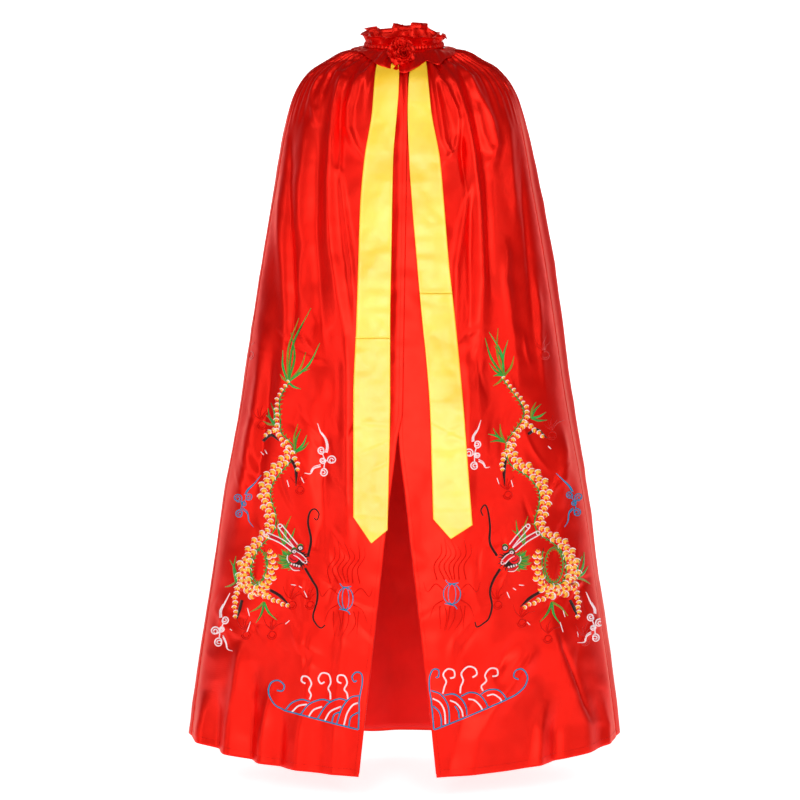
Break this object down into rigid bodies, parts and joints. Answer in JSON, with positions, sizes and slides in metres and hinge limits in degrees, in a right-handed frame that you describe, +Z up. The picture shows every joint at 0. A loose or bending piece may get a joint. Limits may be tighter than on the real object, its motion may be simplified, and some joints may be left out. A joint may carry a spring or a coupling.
{
  "type": "embroidered stage cloak",
  "caption": "Long red satin stage cloak with a gathered drawstring neck, standing ruffle, fabric rosette and yellow tie ribbons.",
  "frame": {"origin": "centre of the neck opening, on the ring of the drawstring channel", "axes": "+Z up along the cloak's height, the front opening faces -Y, +X is the wearer's left; the neck ring leans 15 degrees forward"},
  "size_m": [0.8273, 0.534, 1.4188],
  "materials": {
    "red_satin": "glossy polyester satin, bright red",
    "red_lining": "thin plain-weave red lining, semi-matt",
    "red_ruffle": "gathered red satin",
    "yellow_satin": "glossy yellow satin ribbon",
    "red_cord": "braided red cotton cord"
  },
  "bodies": {
    "cloak": {"back_panel": "red_satin", "back_lining": "red_lining", "left_shoulder_panel": "red_satin", "left_shoulder_lining": "red_lining", "right_shoulder_panel": "red_satin", "right_shoulder_lining": "red_lining", "neck_casing": "red_ruffle", "neck_drawcord": "red_cord", "drawcord_knot": "red_cord", "collar_ruffle": "red_ruffle", "collar_frill": "red_ruffle", "rosette_core": "red_ruffle", "rosette_inner_petals": "red_ruffle", "rosette_outer_petals": "red_ruffle"},
    "left_front": {"left_front_panel": "red_satin", "left_front_lining": "red_lining"},
    "right_front": {"right_front_panel": "red_satin", "right_front_lining": "red_lining"},
    "left_ribbon": {"left_tie_ribbon": "yellow_satin"},
    "left_ribbon_tail": {"left_tie_ribbon_tail": "yellow_satin"},
    "right_ribbon": {"right_tie_ribbon": "yellow_satin"},
    "right_ribbon_tail": {"right_tie_ribbon_tail": "yellow_satin"}
  },
  "joints": [
    {"name": "left_front_open", "type": "hinge", "parent": "cloak", "child": "left_front", "pos_m": [0.034, -0.134, -0.045], "axis": [-0.2244, 0.0318, 0.974], "range_deg": [0, 50]},
    {"name": "right_front_open", "type": "hinge", "parent": "cloak", "child": "right_front", "pos_m": [-0.034, -0.134, -0.045], "axis": [-0.2244, -0.0318, -0.974], "range_deg": [0, 50]},
    {"name": "left_ribbon_lift", "type": "hinge", "parent": "cloak", "child": "left_ribbon", "pos_m": [0.027, -0.0955, -0.035], "axis": [-1, 0, 0], "range_deg": [0, 25]},
    {"name": "right_ribbon_lift", "type": "hinge", "parent": "cloak", "child": "right_ribbon", "pos_m": [-0.0305, -0.0955, -0.035], "axis": [-1, 0, 0], "range_deg": [0, 25]},
    {"name": "left_ribbon_tail_lift", "type": "hinge", "parent": "left_ribbon", "child": "left_ribbon_tail", "pos_m": [0.0595, -0.18714, -0.495], "axis": [-0.9912, -0.1325, 0], "range_deg": [0, 100]},
    {"name": "right_ribbon_tail_lift", "type": "hinge", "parent": "right_ribbon", "child": "right_ribbon_tail", "pos_m": [-0.0575, -0.19516, -0.578], "axis": [-0.9925, 0.1226, 0], "range_deg": [0, 100]}
  ],
  "couplings": [
    {"joint": "left_ribbon_lift", "follows": "left_front_open", "ratio": 0.5},
    {"joint": "right_ribbon_lift", "follows": "right_front_open", "ratio": 0.5}
  ]
}
